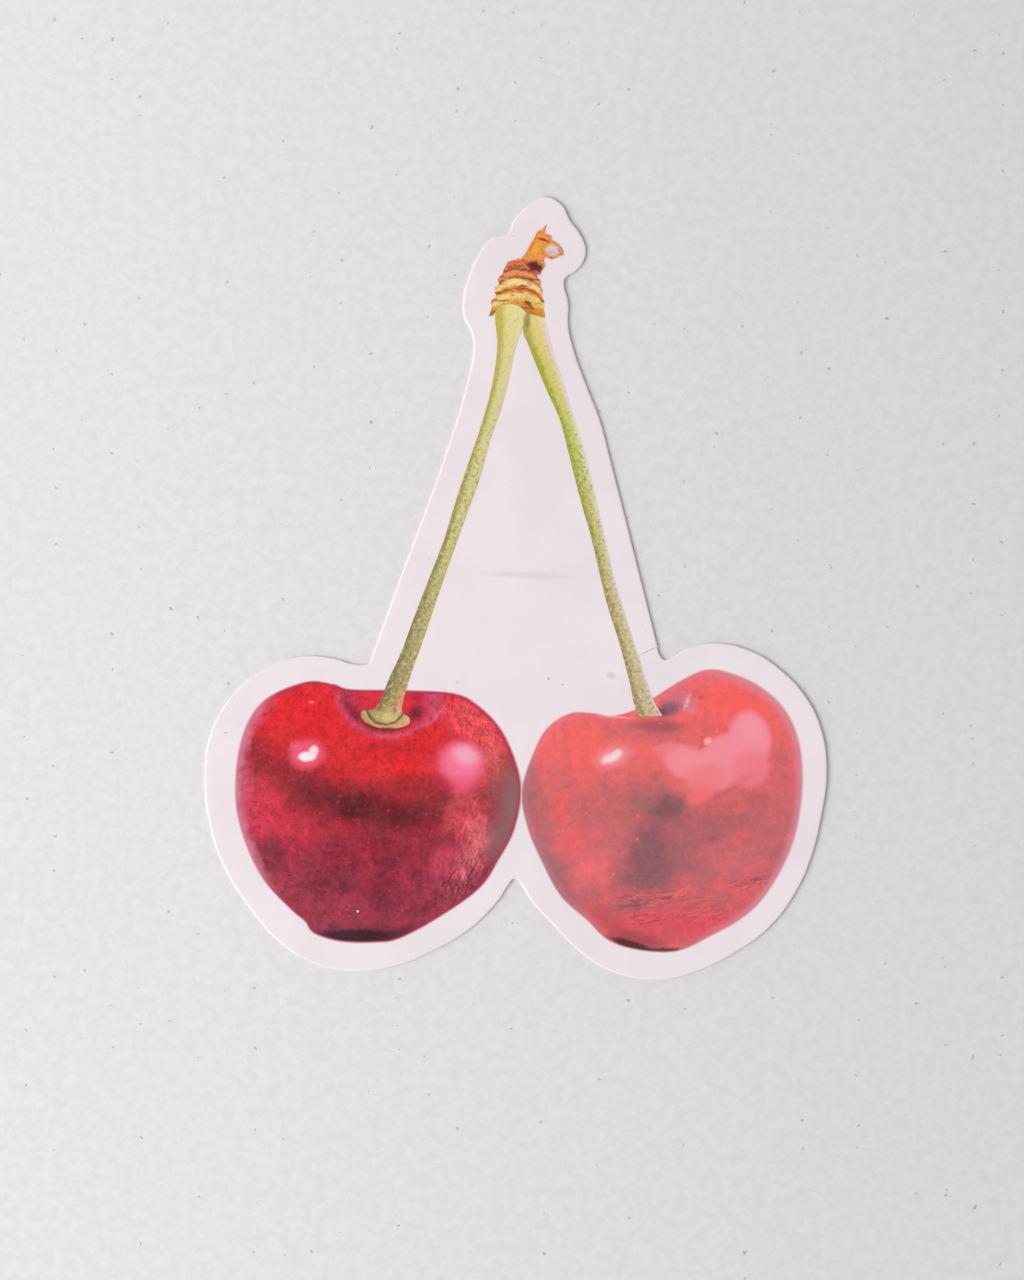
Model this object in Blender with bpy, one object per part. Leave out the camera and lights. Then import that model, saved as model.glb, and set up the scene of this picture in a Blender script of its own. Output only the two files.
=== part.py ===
"""A die-cut sticker on its release paper, printed with two cherries on their stalks.

The sticker lies face up on the XY plane. The twig end of the stalks points along +Y, and the
origin is under the middle of the sheet, on the surface that the release paper rests on. Five
flat layers are stacked from the bottom up: release paper, adhesive, white face film, printed
ink and clear laminate. All but the ink are cut to one outline, the die line.
"""

import bpy

MM = 0.001

# Thickness of each layer, and the clearance between one layer and the next.
LINER_THICKNESS = 0.15 * MM
ADHESIVE_THICKNESS = 0.03 * MM
FILM_THICKNESS = 0.10 * MM
INK_THICKNESS = 0.015 * MM
LAMINATE_THICKNESS = 0.05 * MM
LAYER_CLEARANCE = 0.01 * MM

# How finely a rounded stretch of an outline is divided between two of its points.
DIE_LINE_STEPS = 4
PRINT_STEPS = 3

# Outlines are lists of points in millimetres. A line passes smoothly through a point, and turns
# sharply at one marked as a corner.
CORNER = "corner"

# The die line, clockwise from above the tip of the twig.
AROUND_BUD_RIGHT = [
    (2.8, 38.1), (4.4, 37.4), (5.3, 35.8), (6.3, 34.4), (6.8, 33.0), (6.5, 31.7),
    (5.7, 30.8), (4.9, 30.3), (4.7, 29.8), (5.1, 27.8), (5.1, 25.6), (5.6, 23.3),
]
DOWN_RIGHT_STALK = [(6.8, 19.9), (8.2, 16.3), (9.1, 12.9), (10.2, 8.6), (13.7, -5.3)]
AROUND_RIGHT_CHERRY = [
    (14.0, -6.5), (14.5, -7.0), (15.1, -6.8), (17.0, -5.8), (19.5, -5.4), (22.8, -6.1),
    (25.7, -7.9), (28.3, -10.7), (29.7, -13.6), (30.3, -17.6), (29.8, -22.0), (28.7, -26.4),
    (27.2, -29.7), (24.8, -32.9), (21.5, -35.4), (17.9, -37.2), (14.1, -38.1), (10.1, -37.6),
    (7.0, -36.0), (3.3, -32.4), (1.4, -30.3),
]
BELOW_THE_TOUCH = [(0.5, -28.8), (-0.1, -28.3), (-0.7, -28.9)]
AROUND_LEFT_CHERRY = [
    (-1.7, -30.4), (-4.5, -33.2), (-8.4, -35.5), (-12.2, -36.9), (-15.8, -37.3), (-19.5, -36.6),
    (-23.0, -34.5), (-26.4, -30.5), (-28.6, -26.8), (-29.9, -22.6), (-30.3, -18.7), (-29.8, -14.4),
    (-28.1, -11.1), (-24.9, -8.1), (-21.0, -6.7), (-18.1, -6.8), (-15.0, -7.5), (-14.3, -7.3),
]
UP_LEFT_STALK = [(-13.9, -6.3), (-11.3, 0.8), (-6.4, 14.3), (-4.8, 19.7)]
AROUND_BUD_LEFT = [
    (-4.1, 23.5), (-4.3, 24.9), (-5.0, 26.3), (-5.1, 28.1), (-4.5, 30.5), (-3.0, 33.4),
    (-2.3, 34.1), (-1.2, 34.4), (-0.6, 34.7), (-0.3, 35.6), (0.7, 36.8), (1.8, 37.7),
]
DIE_LINE = (
    AROUND_BUD_RIGHT
    + DOWN_RIGHT_STALK
    + AROUND_RIGHT_CHERRY
    + BELOW_THE_TOUCH
    + AROUND_LEFT_CHERRY
    + UP_LEFT_STALK
    + AROUND_BUD_LEFT
)

# The outer edge of the ink, anticlockwise from the tip of the twig.
BUD_LEFT_EDGE = [
    (3.0, 35.4, CORNER), (2.1, 34.7), (1.4, 33.6), (0.6, 32.1, CORNER), (-0.7, 31.7, CORNER),
    (-1.2, 30.5), (-2.2, 28.8), (-2.6, 27.2), (-2.5, 26.5, CORNER),
]
LEFT_STALK_LEFT_EDGE = [
    (-2.0, 26.1, CORNER), (-1.8, 23.7), (-2.2, 20.3), (-3.2, 16.4), (-4.5, 12.5), (-5.8, 8.6),
    (-7.1, 4.7), (-8.5, 0.8), (-9.9, -3.1), (-11.2, -6.0), (-12.2, -8.5), (-12.7, -9.9, CORNER),
]
LEFT_CHERRY_OUTER_EDGE = [
    (-16.1, -9.8), (-17.8, -9.3), (-20.6, -9.1), (-24.7, -11.0), (-26.8, -14.7), (-27.4, -20.2),
    (-26.5, -24.6), (-24.6, -28.5), (-21.9, -31.4), (-20.6, -32.5), (-19.7, -33.7), (-17.1, -34.5),
    (-13.7, -34.6), (-11.3, -34.2), (-7.4, -32.1), (-3.5, -29.3), (-1.6, -26.5), (-0.1, -23.6),
    (0.5, -21.4, CORNER),
]
RIGHT_CHERRY_OUTER_EDGE = [
    (1.1, -23.4), (2.4, -26.5), (4.3, -30.0), (7.0, -32.5), (8.6, -34.1), (10.5, -35.0),
    (13.6, -35.5), (16.2, -35.3), (18.9, -34.0), (21.8, -32.4), (24.1, -30.3), (26.3, -26.7),
    (27.5, -23.1), (28.0, -18.7), (27.6, -14.8), (26.2, -11.7), (23.8, -9.5), (20.9, -8.2),
    (18.5, -7.9), (16.0, -9.0), (13.3, -10.7, CORNER),
]
RIGHT_STALK_RIGHT_EDGE = [
    (12.1, -7.2), (10.8, -3.1), (9.6, 0.8), (8.7, 4.7), (7.8, 8.6), (6.9, 12.5), (5.7, 16.4),
    (4.5, 20.3), (3.3, 24.2), (2.8, 26.3, CORNER),
]
BUD_RIGHT_EDGE = [
    (2.7, 28.1), (2.5, 29.6), (2.3, 30.4, CORNER), (2.8, 31.3), (2.8, 31.9, CORNER), (3.5, 32.0),
    (4.6, 32.4, CORNER), (4.2, 33.4), (3.4, 34.2, CORNER), (2.8, 34.5),
]
PRINT_EDGE = (
    BUD_LEFT_EDGE
    + LEFT_STALK_LEFT_EDGE
    + LEFT_CHERRY_OUTER_EDGE
    + RIGHT_CHERRY_OUTER_EDGE
    + RIGHT_STALK_RIGHT_EDGE
    + BUD_RIGHT_EDGE
)

# The bare window that the ink leaves between the stalks, anticlockwise from its top.
LEFT_STALK_RIGHT_EDGE = [
    (0.4, 25.0, CORNER), (-0.1, 23.2), (-0.7, 20.3), (-1.5, 17.3), (-2.5, 14.4), (-3.6, 10.5),
    (-5.0, 6.6), (-6.4, 2.7), (-7.8, -1.2), (-9.3, -5.1), (-10.4, -8.0), (-10.9, -9.9, CORNER),
]
CHERRY_TOPS = [
    (-6.0, -10.2), (-3.6, -11.4), (-1.4, -13.7), (0.1, -17.0), (0.5, -18.5, CORNER),
    (1.5, -16.4), (2.9, -13.7), (5.1, -12.2), (7.2, -12.1), (9.3, -12.4), (11.6, -11.8, CORNER),
]
RIGHT_STALK_LEFT_EDGE = [
    (11.0, -8.8), (10.0, -5.1), (8.8, -1.2), (7.4, 4.7), (6.3, 8.6), (5.3, 12.5), (4.3, 16.4),
    (3.0, 19.3), (1.8, 22.2), (1.1, 24.2),
]
PRINT_WINDOW = LEFT_STALK_RIGHT_EDGE + CHERRY_TOPS + RIGHT_STALK_LEFT_EDGE

# Each layer: node name, thickness, outlines, divisions, colour, roughness.
LAYERS = [
    ("release_liner", LINER_THICKNESS, [DIE_LINE], DIE_LINE_STEPS, (0.80, 0.77, 0.70), 0.55),
    ("adhesive_layer", ADHESIVE_THICKNESS, [DIE_LINE], DIE_LINE_STEPS, (0.86, 0.84, 0.78), 0.30),
    ("face_film", FILM_THICKNESS, [DIE_LINE], DIE_LINE_STEPS, (0.86, 0.80, 0.82), 0.45),
    ("printed_ink", INK_THICKNESS, [PRINT_EDGE, PRINT_WINDOW], PRINT_STEPS, (0.60, 0.03, 0.05), 0.50),
    ("clear_laminate", LAMINATE_THICKNESS, [DIE_LINE], DIE_LINE_STEPS, (0.95, 0.94, 0.95), 0.30),
]
LAMINATE_ALPHA = 0.15


def clear_scene():
    """Remove every object that the file opened with."""
    for scene_object in list(bpy.data.objects):
        bpy.data.objects.remove(scene_object, do_unlink=True)


def make_material(name, colour, roughness):
    """A Principled material of one colour; the laminate's lets the layers below show."""
    material = bpy.data.materials.new(name)
    material.use_nodes = True
    shader = material.node_tree.nodes["Principled BSDF"]
    shader.inputs["Base Color"].default_value = (*colour, 1.0)
    shader.inputs["Roughness"].default_value = roughness
    shader.inputs["Metallic"].default_value = 0.0
    if name == "clear_laminate":
        shader.inputs["Alpha"].default_value = LAMINATE_ALPHA
    return material


def add_outline(curve, outline, steps):
    """Add one closed Bezier outline to a 2D curve, smooth but for its corners."""
    spline = curve.splines.new("BEZIER")
    spline.bezier_points.add(len(outline) - 1)
    spline.use_cyclic_u = True
    spline.resolution_u = steps
    for bezier_point, (x, y, *mark) in zip(spline.bezier_points, outline):
        bezier_point.co = (x * MM, y * MM, 0.0)
        handle = "VECTOR" if mark == [CORNER] else "AUTO"
        bezier_point.handle_left_type = handle
        bezier_point.handle_right_type = handle


def make_layer(name, bottom, thickness, outlines, steps, material, collection):
    """A flat layer: its outlines filled and extruded, standing on the height called bottom."""
    curve = bpy.data.curves.new(name, "CURVE")
    curve.dimensions = "2D"
    curve.fill_mode = "BOTH"
    curve.resolution_u = steps
    curve.extrude = thickness / 2
    for outline in outlines:
        add_outline(curve, outline, steps)
    curve.materials.append(material)
    layer = bpy.data.objects.new(name, curve)
    layer.location.z = bottom + thickness / 2
    collection.objects.link(layer)
    return layer


def main():
    clear_scene()
    collection = bpy.data.collections.new("cherry_sticker")
    bpy.context.scene.collection.children.link(collection)
    bottom = 0.0
    for name, thickness, outlines, steps, colour, roughness in LAYERS:
        material = make_material(name, colour, roughness)
        make_layer(name, bottom, thickness, outlines, steps, material, collection)
        bottom += thickness + LAYER_CLEARANCE


main()
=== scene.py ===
"""Looks of a die-cut sticker, printed with cherries on their stalks, lying face up on pale board.

The sheet is release paper, adhesive and laminated film. Each part of the print is a thin skin of
ink on the film. Every piece is one grid of points: its columns go round the piece's rim, and its
rows go from the piece's spine out to the rim, over the edge and back underneath.
"""
import math

import bmesh
import bpy
import numpy as np
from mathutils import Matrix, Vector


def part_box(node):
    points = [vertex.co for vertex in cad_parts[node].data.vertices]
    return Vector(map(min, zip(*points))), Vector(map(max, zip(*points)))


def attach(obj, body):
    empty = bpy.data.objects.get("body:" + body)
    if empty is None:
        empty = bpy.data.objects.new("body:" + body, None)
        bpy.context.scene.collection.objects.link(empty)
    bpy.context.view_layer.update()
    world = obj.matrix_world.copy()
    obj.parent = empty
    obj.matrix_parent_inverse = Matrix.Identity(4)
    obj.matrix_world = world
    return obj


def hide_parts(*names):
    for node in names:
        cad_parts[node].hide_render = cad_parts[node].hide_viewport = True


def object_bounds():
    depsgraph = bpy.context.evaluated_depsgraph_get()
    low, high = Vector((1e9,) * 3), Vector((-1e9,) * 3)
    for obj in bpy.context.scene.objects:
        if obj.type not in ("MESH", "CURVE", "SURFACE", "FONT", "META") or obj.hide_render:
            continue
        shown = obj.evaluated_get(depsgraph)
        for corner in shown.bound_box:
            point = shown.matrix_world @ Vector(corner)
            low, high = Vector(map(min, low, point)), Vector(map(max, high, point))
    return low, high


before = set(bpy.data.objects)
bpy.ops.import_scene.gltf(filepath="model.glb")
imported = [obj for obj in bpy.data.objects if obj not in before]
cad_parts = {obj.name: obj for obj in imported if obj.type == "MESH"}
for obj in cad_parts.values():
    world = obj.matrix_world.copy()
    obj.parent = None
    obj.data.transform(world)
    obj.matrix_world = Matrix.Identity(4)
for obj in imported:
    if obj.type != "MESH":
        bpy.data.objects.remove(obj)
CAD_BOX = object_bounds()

MM = 0.001
WELD = 1e-7
SHARP_ANGLE = math.radians(40)
BODY = "root"

# ---------------------------------------------------------------- the sheet's layers

LINER_LOW, LINER_HIGH = (corner.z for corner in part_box("release_liner"))
GLUE_LOW, GLUE_HIGH = (corner.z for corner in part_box("adhesive_layer"))
FILM_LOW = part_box("face_film")[0].z
STACK_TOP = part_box("clear_laminate")[1].z

INK = 0.008 * MM            # thickness of each skin of ink
INK_STEP = 0.012 * MM       # from one skin's underside to the next one's
FILM_HIGH = STACK_TOP - 4 * INK_STEP

ROLL_WIDTH = 0.19 * MM      # how far in from the rim the die rolls the film's edge down
ROLL_DROP = 0.09 * MM
ROLL_ROWS = 8
LINER_SET_IN = 0.04 * MM    # how far each lower layer stands back from the film's rim
GLUE_SET_IN = 0.07 * MM


# ---------------------------------------------------------------- curves and grids


def smooth_line(points, closed=False, fineness=24):
    """Points close together on a smooth curve through the given ones.

    Between two given points it is the cubic that leaves each of them parallel to the chord
    between that point's neighbours.
    """
    points = np.asarray(points, float)
    if closed:
        points = np.vstack([points[-1], points, points[0], points[1]])
    else:
        points = np.vstack([2 * points[0] - points[1], points, 2 * points[-1] - points[-2]])
    start, end = points[1:-2, None], points[2:-1, None]
    leave = (points[2:-1] - points[:-3])[:, None] / 2
    arrive = (points[3:] - points[1:-2])[:, None] / 2
    t = np.linspace(0, 1, fineness, endpoint=False)[None, :, None]
    curve = (
        start * (2 * t**3 - 3 * t**2 + 1)
        + leave * (t**3 - 2 * t**2 + t)
        + end * (3 * t**2 - 2 * t**3)
        + arrive * (t**3 - t**2)
    ).reshape(-1, points.shape[1])
    return np.vstack([curve, points[-2]])


def at_lengths(line, share):
    """The points at these shares, 0 to 1, of a line's whole length."""
    steps = np.linalg.norm(np.diff(line, axis=0), axis=1)
    length = np.concatenate([[0], np.cumsum(steps)])
    return np.stack([np.interp(share * length[-1], length, axis) for axis in line.T], axis=1)


def share_nearest(line, point):
    """The share of a line's length at which it passes nearest to a point."""
    steps = np.linalg.norm(np.diff(line, axis=0), axis=1)
    length = np.concatenate([[0], np.cumsum(steps)])
    return length[np.argmin(np.linalg.norm(line - point, axis=1))] / length[-1]


def die_line():
    """The sheet's outline, read from the film's solid: anticlockwise, closed, x and y."""
    solid = bmesh.new()
    solid.from_mesh(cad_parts["face_film"].data)
    bmesh.ops.remove_doubles(solid, verts=solid.verts, dist=WELD)
    solid.normal_update()
    following = {}
    for face in solid.faces:
        for loop in face.loops:
            across = loop.link_loop_radial_next.face
            if face.normal.z > 0.5 and across.normal.z < 0.5:
                following[loop.vert] = loop.link_loop_next.vert
    corner = next(iter(following))
    outline = []
    while corner in following:
        outline.append(corner.co.xy)
        corner = following.pop(corner)
    outline = np.array(outline)
    solid.free()
    return outline


def lift(x, y):
    """Height of the sheet's underside over the table: it curls up a little towards its rim."""
    sides = 0.05 * MM * np.abs(x / (30 * MM)) ** 3
    crown = 0.04 * MM * np.clip((y - 5 * MM) / (33 * MM), 0, None) ** 2
    ripple = 0.012 * MM * (1 + np.sin(x / (3.1 * MM) + y / (5.3 * MM)))
    return sides + crown + ripple


def crease(x, y):
    """Height of the low fold across the film between the stalks, steep above, long below."""
    line = 1.2 * MM - 0.04 * (x - 1 * MM)
    above = np.clip(y - line, 0, None)
    below = np.clip(line - y, 0, None)
    ends = np.clip(1 - np.abs(x - 0.9 * MM) / (6.6 * MM), 0, 1)
    return 0.07 * MM * np.sqrt(ends) * np.exp(-above / (0.5 * MM)) * np.exp(-below / (3.2 * MM))


def rim_normals(rim):
    """Unit vectors that point out of a closed rim, square to it."""
    along = np.roll(rim, -1, axis=0) - np.roll(rim, 1, axis=0)
    out = np.stack([along[:, 1], -along[:, 0]], axis=1)
    return out / np.linalg.norm(out, axis=1)[:, None]


def profile(rings, low, high, roll_width=0.0, roll_drop=0.0, roll_rows=1):
    """The section from the spine over the rim and back: set-in from the rim, share of the way
    to the spine, and height, one of each for a row. The rolled edge is a quarter ellipse."""
    inward = np.linspace(1, 0, rings + 1)
    quarter = np.linspace(0, math.pi / 2, roll_rows + 1)[1:]
    set_in = [np.full(rings + 1, roll_width), roll_width * (1 - np.sin(quarter)), np.zeros(rings + 1)]
    share = [inward, np.zeros(roll_rows), inward[::-1]]
    height = [np.full(rings + 1, high), high - roll_drop * (1 - np.cos(quarter)), np.full(rings + 1, low)]
    return np.concatenate(set_in), np.concatenate(share), np.concatenate(height)


def slab(name, rim, foot, section, top_relief=None, share_round=None, side=None):
    """A closed flat piece: each column runs from its foot on the spine to its point on the rim
    by the section's rows. Its UV map says how far round the rim a point is, and how far out
    from the spine, which is below zero on the columns whose side is -1."""
    set_in, inward, height = (row[:, None] for row in section)
    edge = rim[None] - rim_normals(rim)[None] * set_in[..., None]
    flat = edge * (1 - inward[..., None]) + foot[None] * inward[..., None]
    x, y = flat[..., 0], flat[..., 1]
    z = height + lift(x, y)
    if top_relief is not None:
        z = z + np.where(height == height.max(), top_relief(x, y), 0)
    rows, columns = x.shape
    points = np.stack([x, y, z], axis=2).reshape(-1, 3)
    number = np.arange(rows * columns).reshape(rows, columns)
    mesh = bpy.data.meshes.new(name)
    mesh.from_pydata(points.tolist(), [], quads_of(number, np.roll(number, -1, axis=1)).tolist())
    if share_round is None:
        share_round = np.arange(columns + 1) / columns
        side = np.ones(columns + 1)
    u = np.broadcast_to(share_round, (rows, columns + 1))
    v = (1 - inward) * side
    uv = np.stack([quads_of(u[:, :-1], u[:, 1:]), quads_of(v[:, :-1], v[:, 1:])], axis=2)
    mesh.uv_layers.new(name="round_and_out").data.foreach_set("uv", uv.ravel().astype(np.float32))
    close_up(mesh)
    piece = bpy.data.objects.new(name, mesh)
    bpy.context.scene.collection.objects.link(piece)
    return piece


def quads_of(here, after):
    """The values at the four corners of each cell between a grid's columns and the next ones."""
    return np.stack([here[:-1], here[1:], after[1:], after[:-1]], axis=2).reshape(-1, 4)


def close_up(mesh):
    """Merge the rows that meet on the spine, and face the whole skin outwards."""
    solid = bmesh.new()
    solid.from_mesh(mesh)
    bmesh.ops.remove_doubles(solid, verts=solid.verts, dist=WELD)
    bmesh.ops.recalc_face_normals(solid, faces=solid.faces)
    solid.to_mesh(mesh)
    solid.free()
    mesh.polygons.foreach_set("use_smooth", np.ones(len(mesh.polygons), bool))
    mesh.set_sharp_from_angle(angle=SHARP_ANGLE)


# ---------------------------------------------------------------- shader fields


class Field:
    """A number, vector or colour that varies over a surface, made by shader nodes."""

    def __init__(self, tree, socket):
        self.tree = tree
        self.socket = socket

    def node(self, kind, settings, inputs, output=0):
        """Add a node: its settings are made first, then its sockets take values or fields."""
        made = self.tree.nodes.new(kind)
        for name, value in settings.items():
            if name == "stops":
                set_stops(made.color_ramp.elements, value)
            else:
                setattr(made, name, value)
        for key, value in inputs.items():
            if isinstance(value, Field):
                self.tree.links.new(value.socket, made.inputs[key])
            else:
                made.inputs[key].default_value = value
        return Field(self.tree, made.outputs[output])

    def other(self, output):
        """Another output of the node that this field comes from."""
        return Field(self.tree, self.socket.node.outputs[output])

    def maths(self, operation, *values):
        """One step of arithmetic on numbers or fields."""
        return self.node("ShaderNodeMath", {"operation": operation}, dict(enumerate(values)))

    def vector_maths(self, operation, *values, output=0):
        """One step of arithmetic on vectors or colours."""
        inputs = dict(enumerate(values))
        return self.node("ShaderNodeVectorMath", {"operation": operation}, inputs, output)

    def magnitude(self):
        """The number without its sign."""
        return self.maths("ABSOLUTE", self)

    def __add__(self, other):
        return self.maths("ADD", self, other)

    __radd__ = __add__

    def __sub__(self, other):
        return self.maths("SUBTRACT", self, other)

    def __rsub__(self, other):
        return self.maths("SUBTRACT", other, self)

    def __mul__(self, other):
        return self.maths("MULTIPLY", self, other)

    __rmul__ = __mul__

    def __pow__(self, other):
        return self.maths("POWER", self, other)


def set_stops(elements, stops):
    """Give a colour ramp's elements their stops, each a position and a colour."""
    while len(elements) > 1:
        elements.remove(elements[-1])
    elements[0].position = stops[0][0]
    elements[0].color = (*stops[0][1], 1)
    for position, colour in stops[1:]:
        elements.new(position).color = (*colour, 1)


# Light that falls on the middle of the sheet, against a surface that would send all of it back.
LIGHT_LEVEL = 0.93

# What the film's gloss adds to every colour when it is seen from above.
SHEEN = 0.009
DARKEST = 0.002

# How high a surface's fine relief stands.
RELIEF = 0.01 * MM


def tint(red, green, blue):
    """A printed colour as it looks in the scene's light, 0 to 255 a channel, as an albedo."""
    shown = ((np.array([red, green, blue]) / 255 + 0.055) / 1.055) ** 2.4
    return tuple(np.maximum(shown - SHEEN, DARKEST) / LIGHT_LEVEL)


def start_material(name):
    """A new material, its Principled shader, and the place on the sheet in millimetres."""
    material = bpy.data.materials.new(name)
    material.use_nodes = True
    tree = material.node_tree
    shader = tree.nodes["Principled BSDF"]
    place = Field(tree, tree.nodes.new("ShaderNodeTexCoord").outputs["Object"])
    return material, shader, place.vector_maths("MULTIPLY", place, (1 / MM, 1 / MM, 0))


def connect(shader, **fields):
    """Feed the shader's sockets; an underscore in a name stands for a space."""
    for name, field in fields.items():
        field.tree.links.new(field.socket, shader.inputs[name.replace("_", " ")])


def axis(place, name):
    """The x or y of a place."""
    return place.node("ShaderNodeSeparateXYZ", {}, {0: place}, output="XYZ".index(name))


def noise(place, size, detail=2.0, roughness=0.5, stretch=(1, 1), turn=0, output=0):
    """Cloudy noise whose blotches are about size millimetres across, 0 to 1."""
    spot = place.node(
        "ShaderNodeMapping",
        {"vector_type": "TEXTURE"},
        {"Vector": place, "Rotation": (0, 0, math.radians(turn)), "Scale": (*stretch, 1)},
    )
    return spot.node(
        "ShaderNodeTexNoise",
        {"noise_dimensions": "2D"},
        {"Vector": spot, "Scale": 1 / size, "Detail": detail, "Roughness": roughness},
        output=output,
    )


def shaken(place, size, amount, detail=2.0):
    """The place moved about by noise, so that what is drawn with it gets an uneven edge."""
    push = noise(place, size, detail, output=1)
    push = push.vector_maths("SUBTRACT", push, (0.5, 0.5, 0.5))
    push = push.vector_maths("MULTIPLY", push, (amount, amount, 0))
    return push.vector_maths("ADD", push, place)


def ease(value, start, end, low=0.0, high=1.0):
    """Goes smoothly from low at start to high at end."""
    return value.node(
        "ShaderNodeMapRange",
        {"interpolation_type": "SMOOTHSTEP"},
        {"Value": value, "From Min": start, "From Max": end, "To Min": low, "To Max": high},
    )


def from_centre(place, centre, size, turn=0):
    """How far a place is from an ellipse's centre: 1 on its rim. Size is its two half widths."""
    local = place.node(
        "ShaderNodeMapping",
        {"vector_type": "TEXTURE"},
        {
            "Vector": place,
            "Location": (*centre, 0),
            "Rotation": (0, 0, math.radians(turn)),
            "Scale": (*size, 1),
        },
    )
    return local.vector_maths("LENGTH", local, output=1)


def patch(place, centre, size, turn=0, soft=0.8, strength=1.0):
    """A soft ellipse: its strength inside, fading out to its rim over the soft share of its size."""
    return ease(from_centre(place, centre, size, turn), 1.0, 1.0 - soft, 0.0, strength)


def for_socket(colour):
    """A colour as a colour socket takes it: a field as it is, a shown colour as its albedo."""
    return colour if isinstance(colour, Field) else (*tint(*colour), 1)


def blend(under, over, mask):
    """The colour under, covered by the colour over where the mask is 1. Each is a field or a
    shown colour."""
    inputs = {0: mask, 6: for_socket(under), 7: for_socket(over)}
    return mask.node("ShaderNodeMix", {"data_type": "RGBA"}, inputs, output=2)


def brighten(colour, factor):
    """The colour times a number field near 1."""
    return factor.node("ShaderNodeVectorMath", {"operation": "SCALE"}, {0: colour, "Scale": factor})


def scale_channels(colour, factors):
    """The colour with its red, green and blue each times a number."""
    return colour.vector_maths("MULTIPLY", colour, factors)


def ramp(value, stops):
    """A colour that changes with a value. Stops are (value, shown colour), from low to high."""
    start, end = stops[0][0], stops[-1][0]
    placed = [((at - start) / (end - start), tint(*colour)) for at, colour in stops]
    share = value.node("ShaderNodeMapRange", {}, {"Value": value, "From Min": start, "From Max": end})
    return share.node("ShaderNodeValToRGB", {"stops": placed}, {0: share})


def specks(place, spacing, radius, share):
    """Round dots at random places, one to a cell, in a share of the cells and of uneven size."""
    away = place.node(
        "ShaderNodeTexVoronoi", {"voronoi_dimensions": "2D"}, {"Vector": place, "Scale": 1 / spacing}
    )
    chance = axis(away.other(1), "X")
    size = ease(chance, 1 - share, 1.0, 0.0, radius / spacing)
    return ease(size - away, 0.0, 0.35 * radius / spacing)


def threads(place, size, stretch, turn, width):
    """Thin wandering lines, where cloudy noise passes through its middle value."""
    cloud = noise(place, size, 2, 0.5, stretch, turn)
    return ease((cloud - 0.5).magnitude(), width, 0.0)


def wrinkles(place, size, stretch, turn, shift):
    """How much a wrinkled skin slopes towards the light: noise less the same noise moved by
    shift, above zero on the lit sides and below zero on the shaded ones."""
    moved = place.vector_maths("ADD", place, (*shift, 0))
    return noise(place, size, 3, 0.6, stretch, turn) - noise(moved, size, 3, 0.6, stretch, turn)


def bump(shader, height, strength):
    """Turn a height field into the shader's normal; a step of 1 stands RELIEF high."""
    tree = height.tree
    node = tree.nodes.new("ShaderNodeBump")
    node.inputs["Strength"].default_value = strength
    node.inputs["Distance"].default_value = RELIEF
    tree.links.new(height.socket, node.inputs["Height"])
    tree.links.new(node.outputs["Normal"], shader.inputs["Normal"])


def paint(colour, place, strokes, mottle=None):
    """Lay soft ellipses of ink over a colour: each is x, y, half width, half height, turn in
    degrees, soft share, strength and colour. A mottle field breaks them up."""
    for x, y, half_width, half_height, turn, soft, strength, over in strokes:
        mask = patch(place, (x, y), (half_width, half_height), turn, soft, strength)
        if mottle is not None:
            mask = mask * mottle
        colour = blend(colour, over, mask)
    return colour


def under_laminate(material, shader, place, colour):
    """Finish a material whose colour shows through clear film: satin, with faint orange peel
    under a thin coat."""
    connect(shader, Base_Color=colour)
    shader.inputs["IOR"].default_value = 1.46
    shader.inputs["Coat Roughness"].default_value = 0.16
    connect(shader, Roughness=ease(noise(place, 2.5, 4), 0.3, 0.7, 0.36, 0.46))
    connect(shader, Coat_Weight=ease(noise(place, 5.0, 3), 0.3, 0.7, 0.22, 0.34))
    bump(shader, noise(place, 0.45, 3), 0.10)
    return material


# ---------------------------------------------------------------- finishes of the sheet

FILM_PINK = (244, 232, 236)
FILM_SHADE = (240, 228, 232)


def white_film():
    """Pinkish white laminated film: faint clouds and grain, dust, a scuff, and painted shade and light
    along the fold.
    """
    material, shader, place = start_material("white_film")
    clouds = ease(noise(place, 9.0, 3), 0.35, 0.65)
    colour = blend(FILM_SHADE, FILM_PINK, clouds)
    colour = paint(colour, place, [
        # painted shade: a darker line along the crest of the fold
        (0.9, 1.25, 6.4, 0.55, -2.5, 0.9, 0.55, (222, 209, 214)),
        # painted light: a paler patch on the fold's long lower slope, which faces the key light
        (0.5, -1.6, 6.6, 3.4, 0, 0.9, 0.7, (243, 232, 235)),
        (-24.0, -7.6, 9.0, 2.6, 20, 0.9, 0.4, (240, 230, 232)),
        (9.9, 8.9, 0.6, 0.12, 60, 0.9, 0.2, (205, 190, 200)),
    ])
    rough = shaken(place, 0.4, 0.3)
    colour = paint(colour, rough, [
        (9.3, -8.5, 0.75, 0.45, -30, 0.9, 0.35, (170, 160, 150)),
        (3.2, -8.8, 0.16, 0.14, 0, 0.5, 0.5, (150, 130, 130)),
        (4.6, -9.4, 0.12, 0.10, 0, 0.5, 0.6, (190, 120, 130)),
        (-5.7, -9.2, 0.16, 0.12, 30, 0.5, 0.4, (150, 135, 135)),
        (-28.3, -14.1, 0.14, 0.14, 0, 0.5, 0.45, (150, 130, 135)),
    ])
    dust = specks(shaken(place, 0.3, 0.15), 4.2, 0.09, 0.25)
    colour = blend(colour, (186, 176, 178), dust * 0.5)
    grain = ease(noise(place, 0.16, 2), 0.2, 0.8, 0.988, 1.012)
    return under_laminate(material, shader, place, brighten(colour, grain))


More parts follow.
